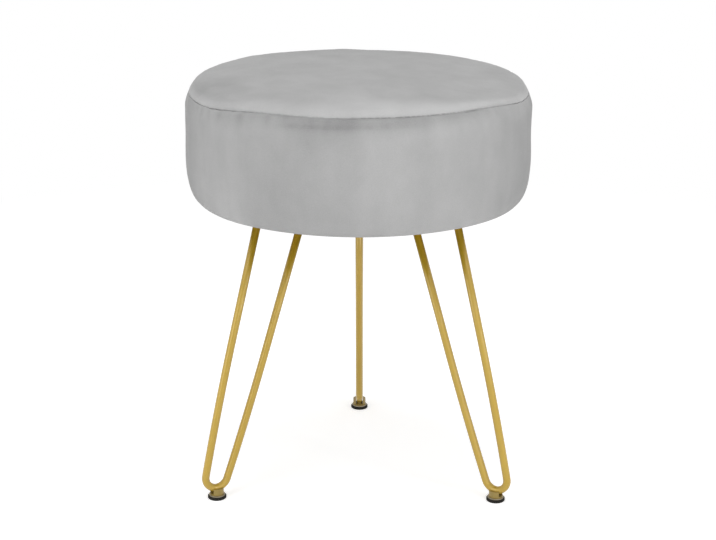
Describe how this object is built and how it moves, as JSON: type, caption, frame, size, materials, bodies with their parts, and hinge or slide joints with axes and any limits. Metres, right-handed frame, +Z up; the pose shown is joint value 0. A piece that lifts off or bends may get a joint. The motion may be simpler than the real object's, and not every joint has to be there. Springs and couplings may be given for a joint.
{
  "type": "footstool",
  "caption": "Round upholstered footstool with a light grey velvet drum seat on slim bent brass-finish rod legs that end in small black feet.",
  "frame": {"origin": "on the floor, on the seat's axis", "axes": "+Z points up along the seat's axis. The back leg points 15 degrees past +Y towards -X, and the left and right legs follow a third of a turn apart, so the stool's front faces 15 degrees past -Y towards +X."},
  "size_m": [0.3518, 0.3519, 0.434],
  "materials": {
    "velvet": "short dense pile, soft sheen",
    "thread": "matt sewing thread",
    "wadding": "loose white fibre",
    "foam": "matt open-cell foam",
    "plywood": "raw, lightly sanded",
    "gold_metal": "satin, brass-coloured",
    "dull_metal": "satin, dull greyish gold",
    "zinc": "bright zinc plating",
    "black_pad": "matt black",
    "dust_cloth": "thin matt black non-woven cloth"
  },
  "bodies": {
    "root": {"top_cover": "velvet", "side_cover": "velvet", "seam_thread": "thread", "wadding": "wadding", "foam_pad": "foam", "seat_board": "plywood", "tee_nuts": "zinc", "cover_staples": "zinc", "dust_cover": "dust_cloth", "dust_cover_staples": "zinc", "leg_rod_back": "gold_metal", "leg_rod_left": "gold_metal", "leg_rod_right": "gold_metal", "leg_plate_back": "gold_metal", "leg_plate_left": "gold_metal", "leg_plate_right": "gold_metal", "leg_screws": "zinc", "leg_screw_washers": "zinc", "foot_cradle_back": "gold_metal", "foot_cradle_left": "gold_metal", "foot_cradle_right": "gold_metal", "foot_disc_back": "dull_metal", "foot_disc_left": "dull_metal", "foot_disc_right": "dull_metal", "foot_pad_back": "black_pad", "foot_pad_left": "black_pad", "foot_pad_right": "black_pad", "foot_rivets": "zinc"}
  },
  "joints": []
}
